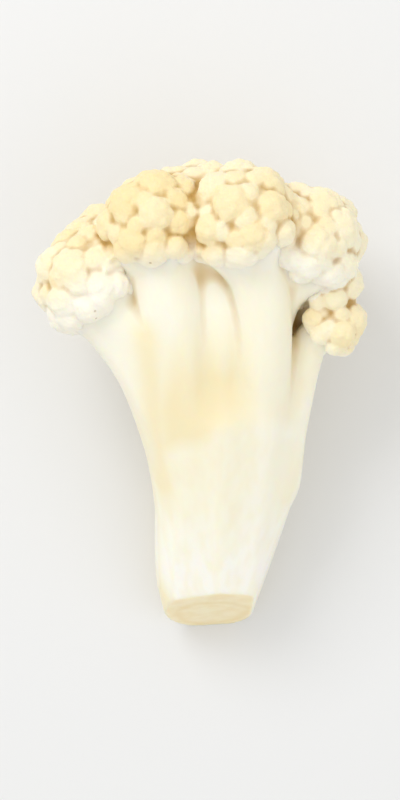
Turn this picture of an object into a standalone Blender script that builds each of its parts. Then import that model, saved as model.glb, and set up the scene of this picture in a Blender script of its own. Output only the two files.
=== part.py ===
"""A cauliflower floret, cut from its head and lying on its side as on a table.

The stalk is one trimmed stem that forks into a branch for each lobe of curd. The curd is the knobbly
crown: each lobe is a ball covered with round knobs, and the lobes press together into one dome.
X runs across the floret, Y along the stalk towards the crown, and Z up from the table.
Sizes and places below are in millimetres, with Y measured from the cut end of the stalk.
"""

import math
from dataclasses import dataclass

import bmesh
import bpy
import numpy as np
from mathutils import Matrix, Vector

MM = 0.001
SEED = 11
GOLDEN_ANGLE = math.pi * (3.0 - math.sqrt(5.0))

# The middle of the floret's width and length, which goes to the origin.
MIDDLE = (-1.61, 34.70)

# The main stem, from the cut end to where the branches part: x, y, z and radius.
STEM_STATIONS = (
    (0.2, -5.0, 5.3, 6.2),
    (0.3, 0.0, 6.6, 7.6),
    (0.5, 4.0, 7.9, 8.8),
    (1.0, 9.0, 9.9, 10.3),
    (1.8, 16.0, 12.9, 11.3),
    (2.3, 24.0, 15.9, 11.8),
    (2.2, 33.0, 19.0, 9.6),
    (2.2, 41.0, 21.8, 5.0),
)
STEM_SIDES = 20
BRANCH_SIDES = 12
SPLINE_STEPS = 4
WELD_DISTANCE = 0.01

# How far a branch reaches from its bend towards the middle of its lobe.
BRANCH_REACH = 0.82

# The knife's flat cuts: a point on each plane and the way that the plane faces. The side cuts are made on
# the stem alone, and the others on the stem with its branches.
SIDE_CUTS = (
    ((-8.9, 14.0, 12.0), (-1.0, -0.02, 0.10)),
    ((12.3, 15.0, 12.0), (0.93, -0.36, 0.10)),
    ((-6.6, 14.0, 18.6), (-0.72, -0.24, 0.65)),
    ((9.2, 14.0, 18.2), (0.70, -0.34, 0.63)),
)
END_AND_TOP_CUTS = (
    ((0.3, -0.4, 7.0), (0.05, -0.93, 0.36)),
    ((-3.0, 31.0, 28.0), (-0.20, -0.40, 0.90)),
    ((5.6, 31.0, 28.0), (0.24, -0.40, 0.88)),
)

# Curd knobs: their size on a lobe of the usual radius, how much of that goes with the lobe's own radius, how
# far round the lobe they reach, and how much they vary.
KNOB_RADIUS = 3.9
USUAL_LOBE_RADIUS = 10.0
KNOB_SHARE_WITH_LOBE = 0.5
KNOB_SHRINK_TO_RIM = 0.22
KNOB_VARIATION = 0.12
KNOB_COVER = math.radians(107.0)
KNOB_SPACING_AREA = 54.0
CORE_INSET = 1.9
KNOB_SUBDIVISIONS = 2
HIDDEN_DEPTH = 0.9

# Each ball is turned a little further about this axis, so that neighbouring balls don't share edges.
BALL_TURN_AXIS = (0.3, 0.5, 0.8)
BALL_TURN_STEP = 0.7
CORE_TURN = 0.4

# The spiral of knobs starts square to the lobe's axis and to this way.
SPIRAL_REFERENCE = (0.31, 0.17, 0.93)

# The curd is cut back from the stalk by this gap, so that the two solids touch without sharing space.
FIT_GAP = 0.3

CURD_COLOUR = (0.945, 0.855, 0.600, 1.0)
CURD_ROUGHNESS = 0.65
STALK_COLOUR = (0.955, 0.925, 0.800, 1.0)
STALK_ROUGHNESS = 0.45
SHARP_EDGE_ANGLE = math.radians(40.0)


@dataclass(frozen=True)
class Lobe:
    """One lobe of curd: its centre and radius, and where its branch leaves the stem and how thick it is."""

    name: str
    centre: tuple
    radius: float
    root: tuple
    bend: tuple
    branch_radii: tuple


LOBES = (
    Lobe("left", (-18.6, 53.0, 27.0), 9.6, (-1.6, 20.0, 14.5), (-8.4, 39.5, 24.4), (6.4, 6.3, 6.0)),
    Lobe("front_left", (-8.4, 61.4, 32.6), 9.45, (-1.0, 20.0, 14.5), (-5.4, 44.5, 27.6), (6.4, 5.6, 5.0)),
    Lobe("front_right", (5.0, 62.0, 33.4), 9.9, (5.0, 20.0, 14.5), (8.2, 46.0, 28.2), (6.4, 4.6, 4.8)),
    Lobe("right", (15.0, 59.4, 27.6), 9.8, (5.5, 22.0, 14.5), (8.4, 46.0, 24.4), (6.4, 4.4, 4.2)),
    Lobe("right_link", (19.0, 52.6, 25.6), 5.6, (6.0, 30.0, 14.0), (12.6, 46.0, 16.0), (4.2, 3.4, 3.0)),
    Lobe("right_low", (19.4, 46.4, 25.2), 5.6, (10.2, 22.0, 15.6), (15.2, 42.5, 22.2), (3.8, 2.9, 2.5)),
    Lobe("crest", (-1.8, 62.0, 27.2), 10.8, (1.2, 20.0, 13.5), (1.4, 44.0, 26.2), (6.4, 5.2, 4.2)),
    Lobe("left_back", (-16.2, 56.8, 17.8), 9.8, (-1.5, 21.0, 13.0), (-8.4, 41.5, 17.6), (6.0, 5.0, 4.6)),
    Lobe("right_back", (13.4, 57.8, 15.2), 10.0, (4.0, 21.0, 13.0), (8.2, 42.0, 16.6), (6.0, 5.0, 4.6)),
    Lobe("base_left", (-11.0, 52.6, 9.2), 10.0, (-1.0, 20.0, 11.5), (-5.4, 38.5, 13.0), (6.0, 5.0, 4.6)),
    Lobe("base_right", (9.4, 53.0, 8.9), 10.0, (3.5, 20.0, 11.5), (5.6, 38.5, 13.0), (6.0, 5.0, 4.6)),
    Lobe("base_back", (-0.8, 60.0, 11.6), 9.8, (1.0, 20.0, 12.5), (-0.2, 43.0, 14.6), (6.0, 4.6, 4.2)),
)


def to_world(point):
    """A design point in millimetres as metres, with the floret's middle at the origin."""
    x, y, z = point
    return Vector(((x - MIDDLE[0]) * MM, (y - MIDDLE[1]) * MM, z * MM))


def smooth_stations(stations):
    """Points and radii along a Catmull-Rom curve through the stations."""
    rows = np.array(stations, float)
    padded = np.vstack([2 * rows[0] - rows[1], rows, 2 * rows[-1] - rows[-2]])
    t = np.linspace(0.0, 1.0, SPLINE_STEPS, endpoint=False)[:, None]
    pieces = []
    for a, b, c, d in zip(padded, padded[1:], padded[2:], padded[3:]):
        square = (2 * a - 5 * b + 4 * c - d) * t**2
        cube = (3 * b - a - 3 * c + d) * t**3
        pieces.append(0.5 * (2 * b + (c - a) * t + square + cube))
    pieces.append(rows[-1:])
    return np.vstack(pieces)


def tube(name, stations, sides, grow=0.0):
    """A closed tube through stations of x, y, z and radius. grow adds to its radius and its ends."""
    rows = smooth_stations(stations)
    if grow:
        for end, inner in ((0, 1), (-1, -2)):
            way = rows[end, :3] - rows[inner, :3]
            rows[end, :3] += grow * way / np.linalg.norm(way)
    curve = bpy.data.curves.new(name, "CURVE")
    curve.dimensions = "3D"
    curve.bevel_depth = MM
    curve.bevel_resolution = sides // 2 - 2
    curve.resolution_u = 1
    curve.use_fill_caps = True
    spline = curve.splines.new("POLY")
    spline.points.add(len(rows) - 1)
    for point, (x, y, z, radius) in zip(spline.points, rows):
        point.co = (*to_world((x, y, z)), 1.0)
        point.radius = radius + grow
    return mesh_from_curve(name, curve)


def mesh_from_curve(name, curve):
    """The curve as a mesh object, with its end caps welded on."""
    holder = bpy.data.objects.new(name + "_curve", curve)
    bpy.context.scene.collection.objects.link(holder)
    bpy.context.view_layer.update()
    evaluated = holder.evaluated_get(bpy.context.evaluated_depsgraph_get())
    mesh = bpy.data.meshes.new_from_object(evaluated)
    bpy.data.objects.remove(holder)
    bpy.data.curves.remove(curve)
    body = bmesh.new()
    body.from_mesh(mesh)
    bmesh.ops.remove_doubles(body, verts=body.verts, dist=WELD_DISTANCE * MM)
    bmesh.ops.recalc_face_normals(body, faces=body.faces)
    body.to_mesh(mesh)
    body.free()
    return bpy.data.objects.new(name, mesh)


def ball(name, centre, radius, turn):
    """An icosphere, turned about the balls' common axis."""
    mesh = bpy.data.meshes.new(name)
    body = bmesh.new()
    place = Matrix.Translation(to_world(centre)) @ Matrix.Rotation(turn, 4, Vector(BALL_TURN_AXIS))
    bmesh.ops.create_icosphere(body, subdivisions=KNOB_SUBDIVISIONS, radius=radius * MM, matrix=place)
    body.to_mesh(mesh)
    body.free()
    return bpy.data.objects.new(name, mesh)


def cut_flat(obj, point, facing):
    """Cuts away all of the object that lies past a plane, and closes the cut."""
    body = bmesh.new()
    body.from_mesh(obj.data)
    geometry = body.verts[:] + body.edges[:] + body.faces[:]
    place, way = to_world(point), Vector(facing)
    bmesh.ops.bisect_plane(body, geom=geometry, plane_co=place, plane_no=way, clear_outer=True)
    rim = [edge for edge in body.edges if edge.is_boundary]
    if rim:
        bmesh.ops.holes_fill(body, edges=rim, sides=0)
    bmesh.ops.recalc_face_normals(body, faces=body.faces)
    body.to_mesh(obj.data)
    body.free()


def boolean(obj, collection, operation):
    """Joins the collection's meshes to the object, or cuts them from it, and then removes them."""
    modifier = obj.modifiers.new(operation.lower(), "BOOLEAN")
    modifier.operation = operation
    modifier.operand_type = "COLLECTION"
    modifier.collection = collection
    modifier.solver = "MANIFOLD"
    bpy.context.view_layer.update()
    evaluated = obj.evaluated_get(bpy.context.evaluated_depsgraph_get())
    result = bpy.data.meshes.new_from_object(evaluated)
    obj.modifiers.remove(modifier)
    obj.data = result
    for other in list(collection.objects):
        bpy.data.objects.remove(other)
    bpy.data.collections.remove(collection)


def helper_collection(name, objects):
    """A collection of bodies that a Boolean uses up."""
    collection = bpy.data.collections.new(name)
    bpy.context.scene.collection.children.link(collection)
    for obj in objects:
        obj.hide_render = True
        obj.display_type = "WIRE"
        collection.objects.link(obj)
    return collection


def branch_tube(lobe, grow=0.0):
    """The branch that carries a lobe, from inside the stem to inside the lobe."""
    start, middle, end = lobe.branch_radii
    bend, centre = np.array(lobe.bend), np.array(lobe.centre)
    tip = bend + (centre - bend) * BRANCH_REACH
    stations = ((*lobe.root, start), (*lobe.bend, middle), (*tip, end))
    return tube(lobe.name + "_branch", stations, BRANCH_SIDES, grow)


def cut_all(obj, cuts, grow):
    """Makes each of the flat cuts on an object, moved outwards by grow."""
    for point, facing in cuts:
        way = Vector(facing).normalized()
        cut_flat(obj, Vector(point) + way * grow, way)


def stalk_solid(name, grow=0.0):
    """The trimmed stem and all its branches as one body. grow makes it larger all round."""
    stalk = tube(name, STEM_STATIONS, STEM_SIDES, grow)
    cut_all(stalk, SIDE_CUTS, grow)
    branches = [branch_tube(lobe, grow) for lobe in LOBES]
    bpy.context.scene.collection.objects.link(stalk)
    boolean(stalk, helper_collection(name + "_branches", branches), "UNION")
    cut_all(stalk, END_AND_TOP_CUTS, grow)
    return stalk


def outward_axis(lobe):
    """The way that a lobe grows: from its branch's bend through its centre."""
    way = np.array(lobe.centre) - np.array(lobe.bend)
    return way / np.linalg.norm(way)


def knob_places(lobe, rng):
    """Centres, radii and outward ways of a lobe's knobs, on a golden-angle spiral out from its top."""
    axis = outward_axis(lobe)
    side = np.cross(axis, SPIRAL_REFERENCE)
    side /= np.linalg.norm(side)
    other = np.cross(axis, side)
    cap_area = 2.0 * math.pi * lobe.radius**2 * (1.0 - math.cos(KNOB_COVER))
    count = round(cap_area / KNOB_SPACING_AREA)
    share = (np.arange(count) + 0.5) / count
    cos_polar = 1.0 - share * (1.0 - math.cos(KNOB_COVER))
    sin_polar = np.sqrt(1.0 - cos_polar**2)
    turn = np.arange(count) * GOLDEN_ANGLE + rng.uniform(0.0, 2.0 * math.pi)
    ways = (
        cos_polar[:, None] * axis
        + (sin_polar * np.cos(turn))[:, None] * side
        + (sin_polar * np.sin(turn))[:, None] * other
    )
    with_lobe = KNOB_SHARE_WITH_LOBE * lobe.radius / USUAL_LOBE_RADIUS
    size = KNOB_RADIUS * (1.0 - KNOB_SHARE_WITH_LOBE + with_lobe)
    vary = 1.0 + KNOB_VARIATION * rng.uniform(-1.0, 1.0, count)
    radii = size * (1.0 - KNOB_SHRINK_TO_RIM * share) * vary
    centres = np.array(lobe.centre) + ways * (lobe.radius - radii)[:, None]
    return centres, radii, ways


def is_hidden(tip, own):
    """True if the outermost point of a knob lies inside another lobe, where the knob would never show."""
    for lobe in LOBES:
        if lobe is own:
            continue
        if np.linalg.norm(tip - np.array(lobe.centre)) < lobe.radius - HIDDEN_DEPTH:
            return True
    return False


def curd_balls():
    """Every ball of the crown: a core for each lobe, and the knobs on it that show."""
    rng = np.random.default_rng(SEED)
    balls = []
    for lobe in LOBES:
        balls.append(ball(lobe.name + "_core", lobe.centre, lobe.radius - CORE_INSET, CORE_TURN))
        centres, radii, ways = knob_places(lobe, rng)
        for i, (centre, radius, way) in enumerate(zip(centres, radii, ways)):
            if not is_hidden(centre + way * radius, lobe):
                balls.append(ball(f"{lobe.name}_knob_{i}", centre, radius, BALL_TURN_STEP * i))
    return balls


def keep_main_body(obj):
    """Drops the crumbs that a cut leaves: every body but the one with the most corners."""
    body = bmesh.new()
    body.from_mesh(obj.data)
    waiting = set(body.verts)
    groups = []
    while waiting:
        frontier = [waiting.pop()]
        group = set(frontier)
        while frontier:
            vert = frontier.pop()
            near = {edge.other_vert(vert) for edge in vert.link_edges} & waiting
            waiting -= near
            group |= near
            frontier.extend(near)
        groups.append(group)
    groups.sort(key=len)
    for group in groups[:-1]:
        bmesh.ops.delete(body, geom=list(group), context="VERTS")
    body.to_mesh(obj.data)
    body.free()


def curd_solid(name):
    """The crown: the lobes' cores and knobs joined into one body."""
    balls = curd_balls()
    curd = balls.pop(0)
    curd.name = name
    bpy.context.scene.collection.objects.link(curd)
    boolean(curd, helper_collection("curd_balls", balls), "UNION")
    return curd


def material(name, colour, roughness):
    """A plain Principled material."""
    made = bpy.data.materials.new(name)
    made.use_nodes = True
    shader = made.node_tree.nodes["Principled BSDF"]
    shader.inputs["Base Color"].default_value = colour
    shader.inputs["Roughness"].default_value = roughness
    shader.inputs["Metallic"].default_value = 0.0
    return made


def finish(obj, made):
    """Gives an object its material and smooth shading, and puts it in the floret's collection."""
    obj.data.materials.clear()
    obj.data.materials.append(made)
    obj.data.shade_smooth()
    obj.data.set_sharp_from_angle(angle=SHARP_EDGE_ANGLE)


def main():
    """Clears the scene and models the two pieces."""
    for obj in list(bpy.data.objects):
        bpy.data.objects.remove(obj)
    table = ((0.0, 0.0, 0.0), (0.0, 0.0, -1.0))
    stalk = stalk_solid("stalk")
    cut_flat(stalk, *table)
    curd = curd_solid("curd")
    room = stalk_solid("stalk_room", FIT_GAP)
    bpy.context.scene.collection.objects.unlink(room)
    boolean(curd, helper_collection("room_for_stalk", [room]), "DIFFERENCE")
    cut_flat(curd, *table)
    keep_main_body(curd)
    finish(stalk, material("stalk flesh", STALK_COLOUR, STALK_ROUGHNESS))
    finish(curd, material("curd", CURD_COLOUR, CURD_ROUGHNESS))
    floret = bpy.data.collections.new("cauliflower_floret")
    bpy.context.scene.collection.children.link(floret)
    for obj in (stalk, curd):
        bpy.context.scene.collection.objects.unlink(obj)
        floret.objects.link(obj)


if __name__ == "__main__":
    main()
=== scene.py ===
"""Looks of a cauliflower floret that lies on its side on a pale table, seen from straight above.

The floret is two closed skins. The stalk skin is a trimmed stem that forks into one branch for each lobe,
and the curd skin is the knobbly crown. Each is computed as a field of distances on a regular grid, from
formulas for balls and tapering rods, and its surface is where that distance is zero.
Sizes and places are in millimetres, with Y measured from the cut end of the stalk, until a mesh is made.
"""

import logging
import math
from dataclasses import dataclass, field
from enum import Enum

import bpy
import numpy as np
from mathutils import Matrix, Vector


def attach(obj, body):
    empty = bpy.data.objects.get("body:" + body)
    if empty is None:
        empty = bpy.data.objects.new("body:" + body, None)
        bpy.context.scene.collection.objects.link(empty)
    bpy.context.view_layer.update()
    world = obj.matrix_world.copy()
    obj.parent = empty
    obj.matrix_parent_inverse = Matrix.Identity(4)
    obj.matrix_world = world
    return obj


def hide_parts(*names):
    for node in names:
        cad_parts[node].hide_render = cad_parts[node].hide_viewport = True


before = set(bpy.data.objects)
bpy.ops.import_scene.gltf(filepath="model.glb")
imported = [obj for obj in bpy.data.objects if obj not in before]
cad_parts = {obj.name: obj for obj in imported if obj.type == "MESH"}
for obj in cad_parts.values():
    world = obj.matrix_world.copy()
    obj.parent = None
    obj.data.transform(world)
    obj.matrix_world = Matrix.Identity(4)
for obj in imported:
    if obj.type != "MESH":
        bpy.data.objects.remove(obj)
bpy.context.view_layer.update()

log = logging.getLogger("floret")

Triple = tuple[float, float, float]

MM = 0.001

# Every random draw starts from this seed, or from it with a small number added.
SEED = 11
GOLDEN_ANGLE = math.pi * (3.0 - math.sqrt(5.0))
# The start of most spirals and rings is drawn from this range: about a full turn in radians.
ANY_TURN = (0.0, 6.28)
# Turns round an axis are measured from this way, which no lobe or knob grows along.
ASIDE = (0.31, 0.17, 0.93)

# The point, in the script's own millimetres, that is the frame's origin: on the floor under the middle.
MIDDLE = (-1.61, 34.70, 0.0)

# How deep a fillet is in its middle, as a share of its width.
FILLET_DEPTH = 0.25
# Width of the fillet of a grid's first rod, which meets no body yet.
FIRST_BLEND = 0.1
# How far past a rod's radius its distances are worked out, and the most that they can be.
ROD_MARGIN, ROD_MOST = 4.0, 9.0
# The average depth in a cube that makes hollowness full, as a share of half the cube's width.
FULL_HOLLOW = 0.35
# How often doubtful cells are looked for, and the distance that fills one.
MOST_FILLS, FILL_DISTANCE = 12, -0.02
# The least length and distance that a value is divided by.
LEAST_SLOPE, LEAST_REACH = 1e-6, 0.01
# How many points are compared with every knob at a time.
BATCH = 8000

# How far red, green and blue light goes inside the tissue, as shares of the farthest.
SCATTER_OF_RED_GREEN_BLUE = (1.0, 0.72, 0.38)
# How softly one grain of a texture runs into the next.
GRAIN_SOFTNESS = 0.35


class Slot(Enum):
    """Material slots that the two skins stand for."""

    STALK = "stalk"
    CURD = "curd"


class Texture(Enum):
    """Textures that the patterns of the tissue are drawn with."""

    NOISE = "soft lumps"
    GRAINS = "rounded grains"
    SPECKS = "distance from scattered points"


@dataclass(frozen=True)
class Lobe:
    """One lobe of curd and the branch that carries it.

    Args:
        centre: middle of the lobe.
        radius: outer radius of the lobe, over its knobs.
        root: where the branch leaves the stem.
        bend: where the branch turns towards its lobe.
        branch_radii: radius of the branch at its root, at its bend and inside its lobe.
        pale: how far its paleness creeps up from the underside.
        warmth: how yellow it is, from 0 to 1.
    """

    centre: Triple
    radius: float
    root: Triple
    bend: Triple
    branch_radii: Triple
    pale: float = 0.0
    warmth: float = 0.35

    def axis(self) -> np.ndarray:
        """Unit vector of the way the lobe grows: from its branch's bend through its centre."""
        way = np.array(self.centre) - np.array(self.bend)
        return way / np.linalg.norm(way)


LOBES = (
    Lobe((-18.6, 53.0, 27.0), 9.6, (-1.6, 20.0, 14.5), (-8.4, 39.5, 24.4), (6.4, 6.3, 6.0), 0.55),
    Lobe((-8.4, 61.4, 32.6), 9.45, (-1.0, 20.0, 14.5), (-5.4, 44.5, 27.6), (6.4, 5.6, 5.0), 0.0, 0.8),
    Lobe((5.0, 62.0, 33.4), 9.9, (5.0, 20.0, 14.5), (8.2, 46.0, 28.2), (6.4, 4.6, 4.8), 0.0, 0.5),
    Lobe((15.0, 59.4, 27.6), 9.8, (5.5, 22.0, 14.5), (8.4, 46.0, 24.4), (6.4, 4.4, 4.2), 0.3, 0.0),
    Lobe((19.0, 52.6, 25.6), 5.6, (6.0, 30.0, 14.0), (12.6, 46.0, 16.0), (4.2, 3.4, 3.0)),
    Lobe((19.4, 46.4, 25.2), 5.6, (10.2, 22.0, 15.6), (15.2, 42.5, 22.2), (3.8, 2.9, 2.5)),
    Lobe((-1.8, 62.0, 27.2), 10.8, (1.2, 20.0, 13.5), (1.4, 44.0, 26.2), (6.4, 5.2, 4.2)),
    Lobe((-16.2, 56.8, 17.8), 9.8, (-1.5, 21.0, 13.0), (-8.4, 41.5, 17.6), (6.0, 5.0, 4.6)),
    Lobe((13.4, 57.8, 15.2), 10.0, (4.0, 21.0, 13.0), (8.2, 42.0, 16.6), (6.0, 5.0, 4.6)),
    Lobe((-11.0, 52.6, 9.2), 10.0, (-1.0, 20.0, 11.5), (-5.4, 38.5, 13.0), (6.0, 5.0, 4.6)),
    Lobe((9.4, 53.0, 8.9), 10.0, (3.5, 20.0, 11.5), (5.6, 38.5, 13.0), (6.0, 5.0, 4.6)),
    Lobe((-0.8, 60.0, 11.6), 9.8, (1.0, 20.0, 12.5), (-0.2, 43.0, 14.6), (6.0, 4.6, 4.2)),
)

# The stem as x, y, z and radius, from below its cut end to inside the fork.
STEM_STATIONS = (
    (0.2, -5.0, 5.3, 6.2),
    (0.3, 0.0, 6.6, 7.6),
    (0.5, 4.0, 7.9, 8.8),
    (1.0, 9.0, 9.9, 10.3),
    (1.8, 16.0, 12.9, 11.3),
    (2.3, 24.0, 15.9, 11.8),
    (2.2, 33.0, 19.0, 9.6),
    (2.2, 41.0, 21.8, 5.0),
)


@dataclass(frozen=True)
class Cut:
    """A flat cut, past which everything is taken away.

    Args:
        point: a point on it.
        facing: the way that it faces.
    """

    point: Triple
    facing: Triple

    def way(self) -> np.ndarray:
        """Unit vector of the way that it faces."""
        return np.array(self.facing) / np.linalg.norm(self.facing)

    def mark(self, points: np.ndarray, normals: np.ndarray, width: float) -> np.ndarray:
        """1 on the flat face that it leaves, falling to 0 within a width of its plane.

        Args:
            points: rows of x, y and z on the surface.
            normals: unit vectors that face out of the surface there.
            width: how far from the plane the value reaches 0.

        Returns:
            One value for each point.
        """
        near = np.clip(1.0 - np.abs((points - np.array(self.point)) @ self.way()) / width, 0.0, 1.0)
        return near * rising(normals @ self.way(), start=0.86, width=0.1)


SIDE_CUTS = (
    Cut((-8.9, 14.0, 12.0), (-1.0, -0.02, 0.10)),
    Cut((12.3, 15.0, 12.0), (0.93, -0.36, 0.10)),
    Cut((-6.6, 14.0, 18.6), (-0.72, -0.24, 0.65)),
    Cut((9.2, 14.0, 18.2), (0.70, -0.34, 0.63)),
)
END_CUT = Cut((0.3, -0.4, 7.0), (0.05, -0.93, 0.36))
TOP_CUTS = (
    Cut((-3.0, 31.0, 28.0), (-0.20, -0.40, 0.90)),
    Cut((5.6, 31.0, 28.0), (0.24, -0.40, 0.88)),
)
FLOOR = Cut((0.0, 0.0, 0.0), (0.0, 0.0, -1.0))
FLOOR_ROUNDING = 0.3


@dataclass
class Field:
    """Distances to a surface on a regular grid, negative inside it.

    Args:
        low: lowest corner of the grid.
        high: highest corner of the grid.
        step: distance between grid points.
        empty: distance at every grid point before a body is joined.
    """

    low: Triple
    high: Triple
    step: float
    empty: float = 6.0
    values: np.ndarray = field(init=False)

    def __post_init__(self) -> None:
        """Fills the grid with the distance of an empty one."""
        counts = np.ceil((np.array(self.high) - np.array(self.low)) / self.step).astype(int) + 1
        self.values = np.full(counts, self.empty, np.float32)

    def block(self, low: np.ndarray, high: np.ndarray) -> tuple[tuple, tuple]:
        """Part of the grid between two corners.

        Args:
            low: lowest corner of the part.
            high: highest corner of the part.

        Returns:
            The slices of the part, and its x, y and z coordinates shaped to combine with one another.
        """
        start = np.floor((np.asarray(low) - self.low) / self.step).astype(int)
        stop = np.ceil((np.asarray(high) - self.low) / self.step).astype(int) + 1
        start = np.clip(start, 0, self.values.shape)
        stop = np.clip(stop, 0, self.values.shape)
        slices = tuple(slice(a, b) for a, b in zip(start, stop))
        shapes = ((-1, 1, 1), (1, -1, 1), (1, 1, -1))
        axes = [
            (self.low[i] + self.step * np.arange(start[i], stop[i])).astype(np.float32).reshape(shapes[i])
            for i in range(3)
        ]
        return slices, tuple(axes)

    def join(self, slices: tuple, distance: np.ndarray, blend: float | np.ndarray) -> None:
        """Adds a body to part of the grid, with a fillet where it meets what is there.

        The result is the smaller of the two distances, less a quarter of the fillet's width times the
        square of how far the two are within that width of each other.

        Args:
            slices: the part of the grid.
            distance: distances to the body there.
            blend: width of the fillet.
        """
        there = self.values[slices]
        near = np.maximum(blend - np.abs(there - distance), 0.0) / blend
        self.values[slices] = np.minimum(there, distance) - near * near * blend * FILLET_DEPTH

    def add_ball(self, centre: np.ndarray, radius: float, blend: float) -> None:
        """Joins a ball to the field.

        Args:
            centre: middle of the ball.
            radius: radius of the ball.
            blend: width of the fillet round it.
        """
        reach = radius + blend + 2.0 * self.step
        slices, (x, y, z) = self.block(np.asarray(centre) - reach, np.asarray(centre) + reach)
        distance = np.sqrt((x - centre[0]) ** 2 + (y - centre[1]) ** 2 + (z - centre[2]) ** 2) - radius
        self.join(slices, distance.astype(np.float32), blend)

    def rod_distance(self, stations: np.ndarray) -> tuple[tuple, np.ndarray]:
        """Distances to a bent rod that tapers from station to station.

        Args:
            stations: rows of x, y, z and radius along the rod.

        Returns:
            The slices of the part of the grid around the rod, and the distances there.
        """
        reach = stations[:, 3].max() + ROD_MARGIN
        slices, (x, y, z) = self.block(stations[:, :3].min(0) - reach, stations[:, :3].max(0) + reach)
        best = np.full((x.size, y.size, z.size), ROD_MOST, np.float32)
        for a, b in zip(stations, stations[1:]):
            way = b[:3] - a[:3]
            along = ((x - a[0]) * way[0] + (y - a[1]) * way[1] + (z - a[2]) * way[2]) / way.dot(way)
            along = np.clip(along, 0.0, 1.0)
            gap = np.sqrt(
                (x - a[0] - along * way[0]) ** 2
                + (y - a[1] - along * way[1]) ** 2
                + (z - a[2] - along * way[2]) ** 2
            )
            np.minimum(best, gap - (a[3] + along * (b[3] - a[3])), out=best)
        return slices, best

    def keep_behind(self, cut: Cut, blend: float) -> None:
        """Cuts away what lies past a plane, with a slightly rounded edge.

        Args:
            cut: the plane.
            blend: width of the rounding.
        """
        way, point = cut.way(), cut.point
        _, (x, y, z) = self.block(self.low, self.high)
        past = (x - point[0]) * way[0] + (y - point[1]) * way[1] + (z - point[2]) * way[2]
        near = np.maximum(blend - np.abs(self.values - past), 0.0) / blend
        self.values = (np.maximum(self.values, past) + near * near * blend * FILLET_DEPTH).astype(np.float32)

    def sample(self, grid: np.ndarray, points: np.ndarray) -> np.ndarray:
        """Values of a grid at points, weighted by their closeness to the eight corners around each.

        Args:
            grid: values on this field's grid.
            points: rows of x, y and z.

        Returns:
            One value for each point.
        """
        place = (points - np.array(self.low)) / self.step
        place = np.clip(place, 0.0, np.array(grid.shape) - 1.001)
        cell = place.astype(int)
        share = place - cell
        total = np.zeros(len(points))
        for corner in np.ndindex(2, 2, 2):
            weight = np.prod(np.where(corner, share, 1.0 - share), axis=1)
            index = cell + corner
            total += weight * grid[index[:, 0], index[:, 1], index[:, 2]]
        return total

    def normals(self, points: np.ndarray) -> np.ndarray:
        """Unit vectors that face out of the surface, from the change of distance over a step each way.

        Args:
            points: rows of x, y and z on the surface.

        Returns:
            One row of x, y and z for each point.
        """
        slopes = []
        for offset in self.step * np.eye(3):
            after = self.sample(self.values, points + offset)
            slopes.append(after - self.sample(self.values, points - offset))
        ways = np.stack(slopes, axis=1)
        return ways / np.maximum(np.linalg.norm(ways, axis=1, keepdims=True), LEAST_SLOPE)

    def hollowness(self, points: np.ndarray, reach: float) -> np.ndarray:
        """How much flesh lies round each point of the surface: positive in creases, negative on tops.

        The distances are held to within the reach and averaged over a cube of that reach.

        Args:
            points: rows of x, y and z on the surface.
            reach: half the width of the cube.

        Returns:
            One value for each point, from -1 on a sharp top to 1 at the bottom of a crease.
        """
        width = max(1, round(reach / self.step))
        smooth = np.clip(self.values, -reach, reach).astype(np.float64)
        for axis in range(3):
            margins = [(width + 1, width) if i == axis else (0, 0) for i in range(3)]
            total = np.cumsum(np.pad(smooth, margins, "edge"), axis=axis)
            upper = np.take(total, range(2 * width + 1, total.shape[axis]), axis=axis)
            lower = np.take(total, range(0, total.shape[axis] - 2 * width - 1), axis=axis)
            smooth = (upper - lower) / (2 * width + 1)
        return np.clip(-self.sample(smooth, points) / (FULL_HOLLOW * reach), -1.0, 1.0)

    def fill_doubtful_cells(self) -> None:
        """Fills the cells whose corners touch only across a diagonal, so that the surface closes cleanly."""
        for _ in range(MOST_FILLS):
            inside = self.values < 0.0
            doubtful = np.zeros(tuple(n - 1 for n in inside.shape), bool)
            for axis in range(3):
                flat = [i for i in range(3) if i != axis]
                a, b, c, d = (shifted(inside, flat, corner) for corner in ((0, 0), (1, 1), (0, 1), (1, 0)))
                crossed = (a & b & ~c & ~d) | (~a & ~b & c & d)
                near, far = [slice(None)] * 3, [slice(None)] * 3
                near[axis], far[axis] = slice(0, -1), slice(1, None)
                doubtful |= crossed[tuple(near)] | crossed[tuple(far)]
            if not doubtful.any():
                return
            for corner in np.ndindex(2, 2, 2):
                part = tuple(slice(o, o + n) for o, n in zip(corner, doubtful.shape))
                held = self.values[part]
                held[doubtful] = np.minimum(held[doubtful], FILL_DISTANCE)

    def surface(self) -> tuple[np.ndarray, np.ndarray]:
        """The surface where the distance is zero, as corners and four-sided faces.

        Each grid cell that the surface crosses gets one corner, at the average of the points where the
        cell's edges cross zero. Each grid edge that crosses zero gets a face between the four cells
        round it.

        Returns:
            Rows of x, y and z, and rows of four corner numbers.
        """
        f = self.values
        cells = tuple(n - 1 for n in f.shape)
        total = np.zeros((*cells, 3), np.float32)
        count = np.zeros(cells, np.int8)
        for axis in range(3):
            flat = [i for i in range(3) if i != axis]
            for corner in ((0, 0), (0, 1), (1, 0), (1, 1)):
                start = [0, 0, 0]
                start[flat[0]], start[flat[1]] = corner
                end = list(start)
                end[axis] = 1
                a = f[tuple(slice(o, o + n) for o, n in zip(start, cells))]
                b = f[tuple(slice(o, o + n) for o, n in zip(end, cells))]
                crosses = (a < 0.0) != (b < 0.0)
                share = np.where(crosses, a / np.where(crosses, a - b, 1.0), 0.0)
                for i in range(3):
                    total[..., i] += crosses * (share if i == axis else start[i])
                count += crosses
        active = count > 0
        number = np.full(cells, -1, np.int64)
        number[active] = np.arange(active.sum())
        base = np.argwhere(active)
        points = (base + total[active] / count[active][:, None]) * self.step + np.array(self.low)
        faces = [self._faces_across(axis, number) for axis in range(3)]
        return points, np.concatenate(faces)

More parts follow.
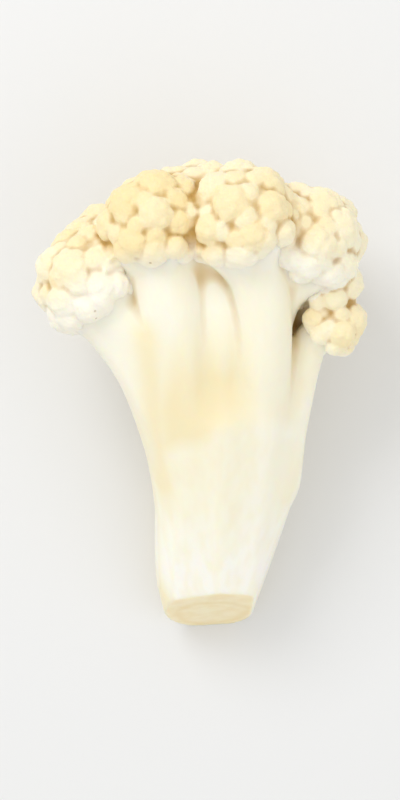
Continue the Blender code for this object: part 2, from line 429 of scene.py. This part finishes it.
    def _faces_across(self, axis: int, number: np.ndarray) -> np.ndarray:
        """Faces for the grid edges along one axis, turned so that they face outwards.

        Args:
            axis: the axis, 0 for x, 1 for y and 2 for z.
            number: the number of each cell's corner, on a grid of the cells.

        Returns:
            Rows of four corner numbers.
        """
        f = self.values
        one, two = (axis + 1) % 3, (axis + 2) % 3
        inner = [slice(1, -1)] * 3
        inner[axis] = slice(0, -1)
        after = list(inner)
        after[axis] = slice(1, None)
        a, b = f[tuple(inner)] < 0.0, f[tuple(after)] < 0.0
        faces = []
        for leaving in (True, False):
            edge = np.argwhere((a & ~b) if leaving else (~a & b))
            edge[:, one] += 1
            edge[:, two] += 1
            ring = []
            for back_one, back_two in ((1, 1), (0, 1), (0, 0), (1, 0)):
                cell = edge.copy()
                cell[:, one] -= back_one
                cell[:, two] -= back_two
                ring.append(number[cell[:, 0], cell[:, 1], cell[:, 2]])
            faces.append(np.stack(ring if leaving else ring[::-1], axis=1))
        return np.concatenate(faces)


def rising(numbers: np.ndarray, start: float, width: float) -> np.ndarray:
    """0 for each number up to a start, 1 from a width past it, and even between."""
    return np.clip((numbers - start) / width, 0.0, 1.0)


def shifted(inside: np.ndarray, flat: list[int], corner: tuple[int, int]) -> np.ndarray:
    """The grid moved by one corner of a square across two axes.

    Args:
        inside: values on the grid.
        flat: the two axes.
        corner: how far it moves along each, 0 or 1.

    Returns:
        The moved grid, one shorter along both axes.
    """
    part = [slice(None)] * 3
    for axis, offset in zip(flat, corner):
        part[axis] = slice(offset, inside.shape[axis] - 1 + offset)
    return inside[tuple(part)]


def smooth_stations(stations: tuple, steps: int = 8) -> np.ndarray:
    """A Catmull-Rom curve through stations: between two, a cubic that leaves each towards its neighbours.

    Args:
        stations: rows of x, y, z and radius.
        steps: number of places on the curve for each pair of stations.

    Returns:
        Rows of x, y, z and radius along the curve.
    """
    rows = np.array(stations, float)
    padded = np.vstack([2 * rows[0] - rows[1], rows, 2 * rows[-1] - rows[-2]])
    t = np.linspace(0.0, 1.0, steps, endpoint=False)[:, None]
    parts = [
        0.5 * (2 * b + (c - a) * t + (2 * a - 5 * b + 4 * c - d) * t**2 + (3 * b - a - 3 * c + d) * t**3)
        for a, b, c, d in zip(padded, padded[1:], padded[2:], padded[3:])
    ]
    return np.vstack([*parts, rows[-1:]])


def sides_of(axis: np.ndarray) -> tuple[np.ndarray, np.ndarray]:
    """Two unit vectors square to an axis and to each other.

    Args:
        axis: the axis, a unit vector.

    Returns:
        Both vectors.
    """
    side = np.cross(axis, ASIDE)
    side /= np.linalg.norm(side)
    return side, np.cross(axis, side)


def spiral_ways(axis: np.ndarray, count: int, cover: float, turn: float) -> tuple[np.ndarray, np.ndarray]:
    """Unit vectors spread evenly round an axis on a golden-angle spiral.

    Args:
        axis: the middle of the spiral.
        count: number of vectors.
        cover: how far from the axis the spiral reaches, in radians.
        turn: where round the axis the spiral starts, in radians.

    Returns:
        Rows of x, y and z, and how far along the spiral each is, from 0 to 1.
    """
    side, other = sides_of(axis)
    share = (np.arange(count) + 0.5) / count
    cos_polar = 1.0 - share * (1.0 - math.cos(cover))
    sin_polar = np.sqrt(1.0 - cos_polar**2)
    angle = np.arange(count) * GOLDEN_ANGLE + turn
    ways = (
        cos_polar[:, None] * axis
        + (sin_polar * np.cos(angle))[:, None] * side
        + (sin_polar * np.sin(angle))[:, None] * other
    )
    return ways, share


@dataclass
class Skin:
    """A closed mesh made from a field, with its colour values.

    Args:
        name: name of the piece.
        node: CAD node it stands for.
        slot: material slot it stands for. Not used.
    """

    name: str
    node: str
    slot: Slot

    def build(self, points: np.ndarray, faces: np.ndarray, values: dict) -> bpy.types.Object:
        """Makes the mesh object.

        Args:
            points: corners in millimetres.
            faces: rows of four corner numbers.
            values: name of each colour value and its array, one number for each corner.

        Returns:
            The object, riding on the root.
        """
        mesh = bpy.data.meshes.new(self.name)
        world = (points - np.array(MIDDLE)) * MM
        mesh.from_pydata(world.tolist(), [], faces.tolist())
        for name, numbers in values.items():
            layer = mesh.attributes.new(name, "FLOAT", "POINT")
            layer.data.foreach_set("value", numbers.astype(np.float32))
        mesh.shade_smooth()
        mesh.update()
        piece = bpy.data.objects.new(self.name, mesh)
        bpy.context.scene.collection.objects.link(piece)
        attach(piece, "root")
        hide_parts(self.node)
        return piece


@dataclass
class Stalk:
    """The trimmed stem and its branches.

    Args:
        low: lowest corner of its grid.
        high: highest corner of its grid.
        step: distance between grid points.
        tip_share: how far a branch goes on from its bend towards its lobe's middle, as a share of the way.
        stem_blend: width of the fillets where the branches leave the stem.
        fork_blend: width of the fillets between branches below their lobes.
        side_rounding: width of the rounding at the edges of the side cuts.
        end_rounding: width of the rounding at the edges of the end and top cuts.
        crease_reach: half the width of the cube that shows a crease.
        deep_reach: half the width of the cube that shows a deep hollow.
        knife_line: how far up the middle of the stem the knife's whiter faces reach.
        side_mark: how far from the plane of a cut along the stem its colour reaches.
        end_mark: how far from the plane of the end cut its colour reaches.
    """

    low: Triple = (-30.0, -6.0, -1.5)
    high: Triple = (28.0, 73.0, 44.5)
    step: float = 0.42
    tip_share: float = 0.86
    stem_blend: float = 2.4
    fork_blend: float = 0.9
    side_rounding: float = 0.8
    end_rounding: float = 0.5
    crease_reach: float = 2.5
    deep_reach: float = 5.0
    knife_line: float = 30.5
    side_mark: float = 0.6
    end_mark: float = 0.4

    def add_branches(self, made: Field) -> None:
        """Joins the branches, each from inside the stem to inside its lobe.

        The fillets are wide near the stem and narrow where the branches stand apart.

        Args:
            made: the field that they join.
        """
        along = made.low[1] + made.step * np.arange(made.values.shape[1])
        share = rising(along, start=28.0, width=20.0)
        blends = (self.stem_blend + share * (self.fork_blend - self.stem_blend)).reshape(1, -1, 1)
        for lobe in LOBES:
            bend, centre = np.array(lobe.bend), np.array(lobe.centre)
            tip = bend + (centre - bend) * self.tip_share
            start, middle, end = lobe.branch_radii
            rod = smooth_stations(((*lobe.root, start), (*bend, middle), (*tip, end)))
            slices, distance = made.rod_distance(rod)
            made.join(slices, distance, blends[:, slices[1]])

    def add_branchlets(self, made: Field) -> None:
        """Joins the short branchlets that spread under each lobe, from its branch out to its lower knobs.

        They start behind a ball of flesh, and their ways are the last ones of a spiral.

        Args:
            made: the field that they join.
        """
        rng = np.random.default_rng(SEED + 3)
        ball_back, ball_inset, blend = 2.0, 3.9, 1.2
        base_back, number_per_mm, spiral, cover = 1.05, 1.15, 5, math.radians(124.0)
        tip_inset, thickness, thinnest, thickest, flare = 3.3, 0.15, 0.8, 1.15, 0.5
        for lobe in LOBES:
            centre, axis = np.array(lobe.centre), lobe.axis()
            made.add_ball(centre - ball_back * axis, lobe.radius - ball_inset, blend)
            base = centre - base_back * lobe.radius * axis
            count = round(number_per_mm * lobe.radius)
            ways, _ = spiral_ways(axis, spiral * count, cover, rng.uniform(*ANY_TURN))
            for way in ways[-count:]:
                tip = centre + way * (lobe.radius - tip_inset)
                size = thickness * lobe.radius * rng.uniform(thinnest, thickest)
                rod = smooth_stations(((*base, size), (*tip, size + flare)), 1)
                slices, distance = made.rod_distance(rod)
                made.join(slices, distance, blend)

    def build(self) -> bpy.types.Object:
        """Makes the stalk's skin.

        Returns:
            The skin, with its colour values.
        """
        made = Field(self.low, self.high, self.step)
        slices, distance = made.rod_distance(smooth_stations(STEM_STATIONS))
        made.join(slices, distance, FIRST_BLEND)
        for cut in SIDE_CUTS:
            made.keep_behind(cut, self.side_rounding)
        self.add_branches(made)
        for cut in (END_CUT, *TOP_CUTS):
            made.keep_behind(cut, self.end_rounding)
        self.add_branchlets(made)
        made.keep_behind(FLOOR, FLOOR_ROUNDING)
        made.fill_doubtful_cells()
        points, faces = made.surface()
        normals = made.normals(points)
        # crease and deep say where the finish paints shade
        crease = made.hollowness(points, self.crease_reach)
        values = {
            "crease": crease,
            "deep": made.hollowness(points, self.deep_reach),
            "skin": self.grown_skin_and_painted_shade(points, crease),
            "trimmed": self.trimmed(points, normals),
            "end_cut": END_CUT.mark(points, normals, self.end_mark),
            "ring": self.ring(points),
        }
        return Skin("stalk_skin", "stalk", Slot.STALK).build(points, faces, values)

    def grown_skin_and_painted_shade(self, points: np.ndarray, crease: np.ndarray) -> np.ndarray:
        """How yellow the grown skin is, partly its own colour and partly painted shade that is strongest in
        creases: most in the valleys below the fork, least on the crown and ridges.

        The height where it ends drops from the middle valley to the left branch, and the right ridge has
        little of it. A branch's rounded side has half as much as a crease has. A bell curve across the seam
        between the left branch and its neighbour adds the narrow valley there.

        Args:
            points: rows of x, y and z on the surface.
            crease: hollowness of the surface there.

        Returns:
            One value for each point, from 0 to 1.
        """
        x, y = points[:, 0], points[:, 1]
        middle_top, left_drop, fade = 49.0, 9.0, 11.0
        top = middle_top - left_drop * rising(-x, start=4.0, width=6.0)
        round_share, ridge_loss, left_loss = 0.5, 0.7, 0.55
        hollow = round_share + (1.0 - round_share) * rising(crease, start=-0.5, width=0.55)
        ridge = 1.0 - ridge_loss * rising(x, start=3.0, width=5.0)
        left = 1.0 - left_loss * rising(-x, start=6.0, width=4.0)
        valley = rising(top - y, start=0.0, width=fade) * hollow * ridge * left
        seam_x, seam_lean, bend_top, bend_length = -10.4, 0.14, 46.0, 20.0
        seam_width, seam_top, seam_fade, seam_most = 2.2, 48.0, 4.0, 0.75
        seam = seam_x + seam_lean * np.clip(bend_top - y, 0.0, bend_length)
        narrow = np.exp(-(((x - seam) / seam_width) ** 2))
        return np.maximum(valley, narrow * np.clip((seam_top - y) / seam_fade, 0.0, seam_most))

    def trimmed(self, points: np.ndarray, normals: np.ndarray) -> np.ndarray:
        """1 on the cuts along the stem, 0 on the grown surface and above the knife's slanting, wavy line.

        The cuts go less deep in the upper half, so a third of the grown colour stays there.

        Args:
            points: rows of x, y and z on the surface.
            normals: unit vectors that face out of the surface there.

        Returns:
            One value for each point.
        """
        x, y = points[:, 0], points[:, 1]
        lean, wave_height, wave_turn, fade, stays = 0.38, 0.5, 0.9, 3.0, 0.33
        line = self.knife_line + lean * x + wave_height * np.sin(wave_turn * x)
        depth = 1.0 - stays * rising(y, start=8.0, width=10.0)
        marks = [cut.mark(points, normals, self.side_mark) for cut in SIDE_CUTS + TOP_CUTS]
        return rising(line - y, start=0.0, width=fade) * depth * np.max(marks, axis=0)

    def ring(self, points: np.ndarray) -> np.ndarray:
        """1 along a wavy ring inside the rim of the stem's cut end, falling to 0 on both sides of it.

        The ring's radius is a share of the end's, plus three waves round it and seven lower ones.

        Args:
            points: rows of x, y and z on the surface.

        Returns:
            One value for each point.
        """
        middle_x, middle_z, radius_x, radius_z = 0.4, 7.0, 7.6, 7.4
        share, width, three_waves, seven_waves = 0.76, 0.14, 0.03, 0.02
        across, down = (points[:, 0] - middle_x) / radius_x, (points[:, 2] - middle_z) / radius_z
        angle = np.arctan2(down, across)
        place = share + three_waves * np.sin(3.0 * angle + 1.0) + seven_waves * np.sin(7.0 * angle)
        return np.clip(1.0 - np.abs(np.hypot(across, down) - place) / width, 0.0, 1.0)


@dataclass
class Curd:
    """The knobbly crown.

    Args:
        low: lowest corner of its grid.
        high: highest corner of its grid.
        step: distance between grid points.
        core_inset: how much smaller than its lobe the ball under the knobs is.
        core_forward: how far past the lobe's middle that ball stands.
        core_blend: width of the fillet round it.
        knob_radius: radius of a knob on a large lobe.
        spacing_area: area of lobe for each knob.
        cover: how far round a lobe its knobs reach, in radians.
        knob_inset: how far a knob's ball stands below the tops of its buds.
        small_inset: the same for the smaller knobs.
        blend: width of the fillets between knobs and between buds.
        tone_spread: how much yellower than the palest knob of its lobe a knob can be.
        crease_reach: half the width of the cube that shows a crease.
        deep_reach: half the width of the cube that shows a deep hollow.
    """

    low: Triple = (-31.0, 36.0, -1.5)
    high: Triple = (28.0, 75.5, 46.5)
    step: float = 0.325
    core_inset: float = 1.9
    core_forward: float = 0.4
    core_blend: float = 0.6
    knob_radius: float = 3.9
    spacing_area: float = 54.0
    cover: float = math.radians(107.0)
    knob_inset: float = 0.34
    small_inset: float = 0.25
    blend: float = 0.3
    tone_spread: float = 0.5
    crease_reach: float = 1.2
    deep_reach: float = 3.6

    def large_knobs(self) -> list[tuple]:
        """The large knobs of every lobe, smaller on a small lobe and at the rim of any.

        Returns:
            The centre, radius and outward way of each.
        """
        rng = np.random.default_rng(SEED)
        share_on_any, share_per_mm, rim_loss, vary = 0.5, 0.05, 0.22, 0.12
        knobs = []
        for lobe in LOBES:
            area = 2.0 * math.pi * lobe.radius**2 * (1.0 - math.cos(self.cover))
            count = round(area / self.spacing_area)
            ways, share = spiral_ways(lobe.axis(), count, self.cover, rng.uniform(0.0, 2.0 * math.pi))
            size = self.knob_radius * (share_on_any + share_per_mm * lobe.radius)
            radii = size * (1.0 - rim_loss * share) * (1.0 + vary * rng.uniform(-1.0, 1.0, count))
            centres = np.array(lobe.centre) + ways * (lobe.radius - radii)[:, None]
            knobs += zip(centres, radii, ways)
        return knobs

    def small_knobs(self) -> list[tuple]:
        """The smaller knobs of every lobe: fillers between the large ones, then the rim.

        Returns:
            The centre, radius and outward way of each.
        """
        rng = np.random.default_rng(SEED + 1)
        share_on_any, share_per_mm = 0.4, 0.06
        number, spacing, cover = 4.6, 3.0, math.radians(122.0)
        filler_radii, filler_sink, rim_radii, rim_sink = (1.9, 2.8), 0.75, (2.1, 2.9), 0.1
        knobs = []
        for lobe in LOBES:
            scale = share_on_any + share_per_mm * lobe.radius
            count = round(number * lobe.radius**2 / spacing**2)
            filler, _ = spiral_ways(lobe.axis(), count, cover, rng.uniform(*ANY_TURN))
            filler_radius = rng.uniform(*filler_radii, count) * scale
            rim = self.rim_ways(lobe, rng)
            rim_radius = rng.uniform(*rim_radii, len(rim)) * scale
            for ways, radii, sink in ((filler, filler_radius, filler_sink), (rim, rim_radius, rim_sink)):
                centres = np.array(lobe.centre) + ways * (lobe.radius - radii - sink)[:, None]
                knobs += zip(centres, radii, ways)
        return knobs

    def rim_ways(self, lobe: Lobe, rng: np.random.Generator) -> np.ndarray:
        """Unit vectors in a wavy ring round the underside of a lobe.

        Args:
            lobe: the lobe.
            rng: source of the random draws.

        Returns:
            Rows of x, y and z.
        """
        number_per_mm, jitter, least_degrees, most_degrees = 1.32, 0.12, 99.0, 113.0
        count = round(number_per_mm * lobe.radius)
        ring = np.arange(count) * 2.0 * math.pi / count + rng.uniform(*ANY_TURN)
        ring += rng.uniform(-jitter, jitter, count)
        polar = np.radians(rng.uniform(least_degrees, most_degrees, count))
        side, other = sides_of(lobe.axis())
        around = np.cos(ring)[:, None] * side + np.sin(ring)[:, None] * other
        return np.cos(polar)[:, None] * lobe.axis() + np.sin(polar)[:, None] * around

    def add_knob(self, made: Field, knob: tuple, inset: float, rng: np.random.Generator) -> None:
        """Joins a knob and the small buds that roughen it, which stand on a spiral round its outward way.

        Args:
            made: the field.
            knob: its centre, outer radius and outward way.
            inset: how far its ball stands below its outer radius.
            rng: source of the random draws.
        """
        buds_per_square_mm, cover = 2.1, math.radians(112.0)
        smallest, largest, lowest, highest = 0.95, 1.35, -0.12, 0.08
        centre, radius, way = knob
        made.add_ball(centre, radius - inset, self.blend)
        count = round(buds_per_square_mm * radius**2)
        buds, _ = spiral_ways(way, count, cover, rng.uniform(*ANY_TURN))
        sizes = rng.uniform(smallest, largest, count)
        heights = radius + rng.uniform(lowest, highest, count)
        for bud, size, height in zip(buds, sizes, heights):
            made.add_ball(centre + bud * (height - size), size, self.blend)

    def build(self) -> bpy.types.Object:
        """Makes the curd's skin.

        Returns:
            The skin, with its colour values.
        """
        made = Field(self.low, self.high, self.step)
        for lobe in LOBES:
            middle = np.array(lobe.centre) + self.core_forward * lobe.axis()
            made.add_ball(middle, lobe.radius - self.core_inset, self.core_blend)
        rng = np.random.default_rng(SEED + 2)
        large, small = self.large_knobs(), self.small_knobs()
        for knobs, inset in ((large, self.knob_inset), (small, self.small_inset)):
            for knob in knobs:
                self.add_knob(made, knob, inset, rng)
        made.keep_behind(FLOOR, FLOOR_ROUNDING)
        made.fill_doubtful_cells()
        points, faces = made.surface()
        centres, radii = (np.array([knob[i] for knob in large + small]) for i in range(2))
        nearest = self.nearest_knob(points, centres, radii)
        white, warmth = self.lobe_colours(points)
        values = {
            "tone": self.tone_spread * rng.uniform(0.0, 1.0, len(radii))[nearest] + warmth,
            # crease and deep say where the finish paints shade
            "crease": made.hollowness(points, self.crease_reach),
            "deep": made.hollowness(points, self.deep_reach),
            "white": white,
        }
        return Skin("curd_skin", "curd", Slot.CURD).build(points, faces, values)

    def nearest_knob(self, points: np.ndarray, centres: np.ndarray, radii: np.ndarray) -> np.ndarray:
        """Number of the knob whose surface is nearest to each point, worked out in batches.

        The squared distance is the sum of both squared lengths less twice the product of the two rows.

        Args:
            points: rows of x, y and z on the surface.
            centres: centre of each knob.
            radii: radius of each knob.

        Returns:
            One knob number for each point.
        """
        parts = []
        for part in np.array_split(points.astype(np.float32), max(1, len(points) // BATCH)):
            squares = (part**2).sum(1)[:, None] + (centres**2).sum(1)[None] - 2.0 * part @ centres.T
            parts.append(np.argmin(np.sqrt(np.maximum(squares, 0.0)) - radii, axis=1))
        return np.concatenate(parts)

    def lobe_colours(self, points: np.ndarray) -> tuple[np.ndarray, np.ndarray]:
        """Colour values that each point takes from the lobe nearest to it.

        Args:
            points: rows of x, y and z on the surface.

        Returns:
            The paleness, 1 on the underside of a lobe by its branch and 0 on its outer face, and the warmth.
        """
        nearest_gap = np.full(len(points), np.inf)
        white = np.zeros(len(points))
        warmth = np.zeros(len(points))
        for lobe in LOBES:
            offset = points - np.array(lobe.centre)
            reach = np.linalg.norm(offset, axis=1)
            gap = reach - lobe.radius
            facing = offset @ lobe.axis() / np.maximum(reach, LEAST_REACH)
            nearer = gap < nearest_gap
            white = np.where(nearer, rising(lobe.pale - facing, start=0.1, width=0.5), white)
            warmth = np.where(nearer, lobe.warmth, warmth)
            nearest_gap = np.minimum(gap, nearest_gap)
        return white, warmth


def linear(hex_colour: str) -> tuple[float, float, float, float]:
    """The linear colour of an sRGB hex colour such as "F0E6C8"."""
    parts = [int(hex_colour[i : i + 2], 16) / 255.0 for i in (0, 2, 4)]
    return (*(p / 12.92 if p <= 0.04045 else ((p + 0.055) / 1.055) ** 2.4 for p in parts), 1.0)


@dataclass(frozen=True)
class Pattern:
    """A pattern of the tissue, fixed to the piece.

    Args:
        texture: texture that draws it.
        size_mm: width of its lumps or grains, or the distance between its specks.
        stretch: how many times longer they are along the stem.
        detail: number of finer patterns within it, for noise.
    """

    texture: Texture
    size_mm: float
    stretch: float = 1.0
    detail: float = 3.0


@dataclass(frozen=True)
class Layer:
    """A colour that lies over those before it.

    Args:
        source: the pattern, or the name of the mesh's colour value, that says where it lies.
        low: the source's value where none of it shows.
        high: the source's value where it shows most.
        share: how much of it shows there, from 0 to 1.
        colour: its sRGB hex colour.
        area: name of the mesh's colour value that it keeps to, or empty for the whole piece.
    """

    source: Pattern | str
    low: float
    high: float
    share: float
    colour: str
    area: str = ""


@dataclass(frozen=True)
class Relief:
    """A pattern that stands out of the surface.

    Args:
        pattern: the pattern.
        depth_mm: how far it stands out.
        strength: how much of that the light shows, from 0 to 1.
    """

    pattern: Pattern
    depth_mm: float
    strength: float


@dataclass(frozen=True)
class Finish:
    """Colours and surface of one material.

    Args:
        name: common name of the material.
        base: its sRGB hex colour under every layer.
        layers: colours over the base, from the lowest up.
        reliefs: what stands out of its surface.
        ior: how strongly its surface turns light back.
        roughness: roughness of its surface.
        scatter: how much of its light scatters inside.
        scatter_mm: how far that light goes inside.
    """

    name: str
    base: str
    layers: tuple[Layer, ...]
    reliefs: tuple[Relief, ...]
    ior: float
    roughness: float
    scatter: float = 0.0
    scatter_mm: float = 0.0


# Raw cauliflower curd is a mass of unopened flower buds, each about half a millimetre wide, in tufts a
# little over a millimetre wide. The eye sees a matt cream surface with no highlight, yellower on older
# knobs and in patches about two knobs wide, whiter on the young tissue of a lobe's underside, and here and
# there a brown speck where a bud has died. Tan is painted shade, laid in the creases between two knobs and
# in deep hollows where light is lost.
CURD_CREAM, CURD_YELLOW, CURD_PAINTED_SHADE, CURD_WHITE, CURD_BROWN = "FEF4D9", "F8E1AA", "BE9440", "FEFAEE", "8C6420"
CURD_FINISH = Finish(
    name="raw cauliflower curd",
    base=CURD_CREAM,
    layers=(
        Layer("tone", 0.3, 1.2, 0.85, CURD_YELLOW),
        Layer(Pattern(Texture.NOISE, 13.0), 0.45, 0.68, 0.45, CURD_YELLOW),
        # painted shade: tan in the creases between knobs and in the deep hollows of the curd
        Layer("crease", 0.0, 0.6, 0.85, CURD_PAINTED_SHADE),
        Layer("deep", 0.35, 1.0, 0.6, CURD_PAINTED_SHADE),
        Layer("white", 0.0, 1.0, 0.85, CURD_WHITE),
        Layer(Pattern(Texture.SPECKS, 6.2), 0.058, 0.03, 0.75, CURD_BROWN),
    ),
    reliefs=(
        Relief(Pattern(Texture.GRAINS, 1.25), 0.35, 0.45),
        Relief(Pattern(Texture.GRAINS, 0.53), 0.16, 0.45),
    ),
    ior=1.4,
    roughness=0.6,
    scatter=0.35,
    scatter_mm=1.0,
)

# Raw cauliflower stalk is wet white flesh under a thin waxy skin, cut with a knife. The eye sees light that
# goes a few millimetres in and comes out soft, a faint sheen, fibres along the stem, a yellower grown skin
# in the valleys, near white facets with faint scores along them, and a drier beige end with a faint ring.
# Tan in the creases and amber in the deep hollows are painted shade, and the grown skin's yellow is
# stronger in creases as painted shade too.
# Fibres and scores are about 0.3 mm wide on a real stalk and are drawn about five times as wide, to show
# in the render.
STALK_WHITE, STALK_YELLOW, STALK_PAINTED_SHADE, STALK_PAINTED_DEEP_SHADE = "FEF8E8", "F5E6BC", "CBAE5C", "DBAF48"
STALK_CUT, STALK_END, STALK_END_DARK, STALK_RING = "FFFCF2", "FCEDC9", "F7E4B8", "E9CF8C"
STALK_FINISH = Finish(
    name="raw cauliflower stalk",
    base=STALK_WHITE,
    layers=(
        Layer(Pattern(Texture.NOISE, 6.2, 8.0), 0.45, 0.8, 0.35, STALK_YELLOW),
        # yellow grown skin, partly its own colour and partly painted shade in the creases
        Layer("skin", 0.0, 1.0, 0.9, STALK_YELLOW),
        # painted shade: tan in the stalk's creases and amber in its deep hollows
        Layer("crease", 0.25, 1.0, 0.7, STALK_PAINTED_SHADE),
        Layer("deep", 0.42, 1.0, 0.9, STALK_PAINTED_DEEP_SHADE),
        Layer("trimmed", 0.0, 1.0, 1.0, STALK_CUT),
        Layer(Pattern(Texture.NOISE, 12.0, 3.5, 1.0), 0.42, 0.75, 0.35, STALK_YELLOW, "trimmed"),
        Layer(Pattern(Texture.NOISE, 1.6, 14.0, 1.0), 0.4, 0.75, 0.3, STALK_YELLOW, "trimmed"),
        Layer("end_cut", 0.0, 1.0, 1.0, STALK_END),
        Layer(Pattern(Texture.NOISE, 2.4), 0.35, 0.7, 1.0, STALK_END_DARK, "end_cut"),
        Layer("ring", 0.0, 1.0, 0.35, STALK_RING, "end_cut"),
    ),
    reliefs=(Relief(Pattern(Texture.NOISE, 1.4, 12.0), 0.15, 0.35),),
    ior=1.4,
    roughness=0.4,
    scatter=0.5,
    scatter_mm=2.2,
)

# Painted board is coated with a roller. The eye sees an even pale matt surface with nothing on it.
TABLE_FINISH = Finish("painted board", "E9EAEC", (), (), 1.5, 0.7)


@dataclass
class Dressing:
    """Builds the material of one finish.

    Args:
        finish: the colours and surface that it shows.
    """

    finish: Finish

    def __post_init__(self) -> None:
        """Makes the material, with nothing of the finish on it yet."""
        self.material = bpy.data.materials.new(self.finish.name)
        self.material.use_nodes = True
        self.tree = self.material.node_tree

    def add(self, kind: str, output: str | int, inputs: dict, **settings: object) -> bpy.types.NodeSocket:
        """Adds a node with its settings and links.

        Args:
            kind: type of the node.
            output: name or number of the output wanted from it.
            inputs: for each input, by name or number, a value or the output it is joined to.
            settings: properties of the node.

        Returns:
            That output.
        """
        node = self.tree.nodes.new(kind)
        for key, value in settings.items():
            setattr(node, key, value)
        self.fill(node, inputs)
        return node.outputs[output]

    def fill(self, node: bpy.types.Node, inputs: dict) -> None:
        """Gives a node its input values and links.

        Args:
            node: the node.
            inputs: for each input, by name or number, a value or the output it is joined to.
        """
        for key, value in inputs.items():
            if isinstance(value, bpy.types.NodeSocket):
                self.tree.links.new(value, node.inputs[key])
            else:
                node.inputs[key].default_value = value

    def values_of(self, source: Pattern | str) -> bpy.types.NodeSocket:
        """Values of a pattern, or of the mesh's colour value with that name.

        A texture's scale is its number of lumps in a metre, so it is 1 divided by their width in metres.

        Args:
            source: the pattern or the name.

        Returns:
            The output that has the values.
        """
        if isinstance(source, str):
            return self.add("ShaderNodeAttribute", "Fac", {}, attribute_name=source)
        place = self.add("ShaderNodeTexCoord", "Object", {})
        flow = (1.0, 1.0 / source.stretch, 1.0)
        place = self.add("ShaderNodeMapping", "Vector", {"Vector": place, "Scale": flow})
        inputs = {"Vector": place, "Scale": 1.0 / (source.size_mm * MM)}
        if source.texture is Texture.NOISE:
            return self.add("ShaderNodeTexNoise", "Fac", {**inputs, "Detail": source.detail})
        if source.texture is Texture.SPECKS:
            return self.add("ShaderNodeTexVoronoi", "Distance", inputs)
        inputs["Smoothness"] = GRAIN_SOFTNESS
        return self.add("ShaderNodeTexVoronoi", "Distance", inputs, feature="SMOOTH_F1")

    def colour(self) -> bpy.types.NodeSocket | tuple:
        """The base with every layer over it, each by its source's values times those of its area.

        Returns:
            The output that has the colour, or the base itself where there is no layer.
        """
        colour = linear(self.finish.base)
        for layer in self.finish.layers:
            most = layer.share
            if layer.area:
                area = self.values_of(layer.area)
                most = self.add("ShaderNodeMath", 0, {0: area, 1: most}, operation="MULTIPLY")
            values = self.values_of(layer.source)
            limits = {"Value": values, "From Min": layer.low, "From Max": layer.high, "To Max": most}
            share = self.add("ShaderNodeMapRange", "Result", limits)
            inputs = {0: share, 6: colour, 7: linear(layer.colour)}
            colour = self.add("ShaderNodeMix", 2, inputs, data_type="RGBA")
        return colour

    def build(self) -> bpy.types.Material:
        """Makes the material. A grain's value grows away from its middle, so its relief is turned over.

        Returns:
            The material.
        """
        values = {
            "Base Color": self.colour(),
            "IOR": self.finish.ior,
            "Roughness": self.finish.roughness,
            "Subsurface Weight": self.finish.scatter,
            "Subsurface Radius": SCATTER_OF_RED_GREEN_BLUE,
            "Subsurface Scale": self.finish.scatter_mm * MM,
        }
        for relief in self.finish.reliefs:
            inputs = {
                "Height": self.values_of(relief.pattern),
                "Distance": relief.depth_mm * MM,
                "Strength": relief.strength,
            }
            if "Normal" in values:
                inputs["Normal"] = values["Normal"]
            grains = relief.pattern.texture is Texture.GRAINS
            values["Normal"] = self.add("ShaderNodeBump", "Normal", inputs, invert=grains)
        self.fill(self.tree.nodes["Principled BSDF"], values)
        return self.material


@dataclass
class Studio:
    """Pale table, soft light from above and a camera that looks straight down.

    Args:
        lamps: for each light its name, its place and width in metres, and its power in watts.
        table_width: width of the table in metres.
        sky_colour: sRGB hex colour of the surround.
        sky_strength: brightness of the surround.
        sensor_mm: width of the camera's sensor.
        lens_mm: length of the camera's lens.
        camera_height: height of the camera over the table in metres.
    """

    lamps: tuple[tuple[str, Triple, float, float], ...] = (
        ("key", (-0.26, 0.30, 0.42), 0.30, 1.05),
        ("fill", (0.35, -0.2, 0.4), 0.5, 0.3),
    )
    table_width: float = 6.0
    sky_colour: str = "FFFEFA"
    sky_strength: float = 0.83
    sensor_mm: float = 36.0
    lens_mm: float = 110.0
    camera_height: float = 0.41

    def build(self) -> None:
        """Sets the view and makes the table, the sky, the lights and the camera."""
        bpy.context.scene.view_settings.view_transform = "Standard"
        self.table()
        self.sky()
        for lamp in self.lamps:
            self.lamp(*lamp)
        self.camera()

    def table(self) -> None:
        """A plain pale table that reaches well out of view."""
        bpy.ops.mesh.primitive_plane_add(size=self.table_width, location=(0.0, 0.0, 0.0))
        table = bpy.context.object
        table.name = "table"
        table.data.materials.append(Dressing(TABLE_FINISH).build())

    def sky(self) -> None:
        """An even warm white surround."""
        world = bpy.data.worlds.new("surround")
        world.use_nodes = True
        background = world.node_tree.nodes["Background"]
        background.inputs["Color"].default_value = linear(self.sky_colour)
        background.inputs["Strength"].default_value = self.sky_strength
        bpy.context.scene.world = world

    def lamp(self, name: str, place: Triple, size: float, power: float) -> None:
        """A square soft light that faces the floret.

        Args:
            name: its name.
            place: its place in metres.
            size: its width in metres.
            power: its power in watts.
        """
        light = bpy.data.lights.new(name, "AREA")
        light.size = size
        light.energy = power
        holder = bpy.data.objects.new(name, light)
        holder.location = place
        holder.rotation_euler = (-Vector(place)).to_track_quat("-Z", "Y").to_euler()
        bpy.context.scene.collection.objects.link(holder)

    def camera(self) -> None:
        """A long lens straight above, with the crown at the top of the picture."""
        lens = bpy.data.cameras.new("camera")
        lens.sensor_width = self.sensor_mm
        lens.lens = self.lens_mm
        holder = bpy.data.objects.new("camera", lens)
        holder.location = (0.0, 0.0, self.camera_height)
        bpy.context.scene.collection.objects.link(holder)
        bpy.context.scene.camera = holder


def main() -> None:
    """Builds the floret and its studio."""
    logging.basicConfig(level=logging.INFO, format="%(message)s")
    for part, finish in ((Stalk(), STALK_FINISH), (Curd(), CURD_FINISH)):
        skin = part.build()
        skin.data.materials.append(Dressing(finish).build())
        log.info("%s: %d corners, %d faces", skin.name, len(skin.data.vertices), len(skin.data.polygons))
    Studio().build()


if __name__ == "__main__":
    main()
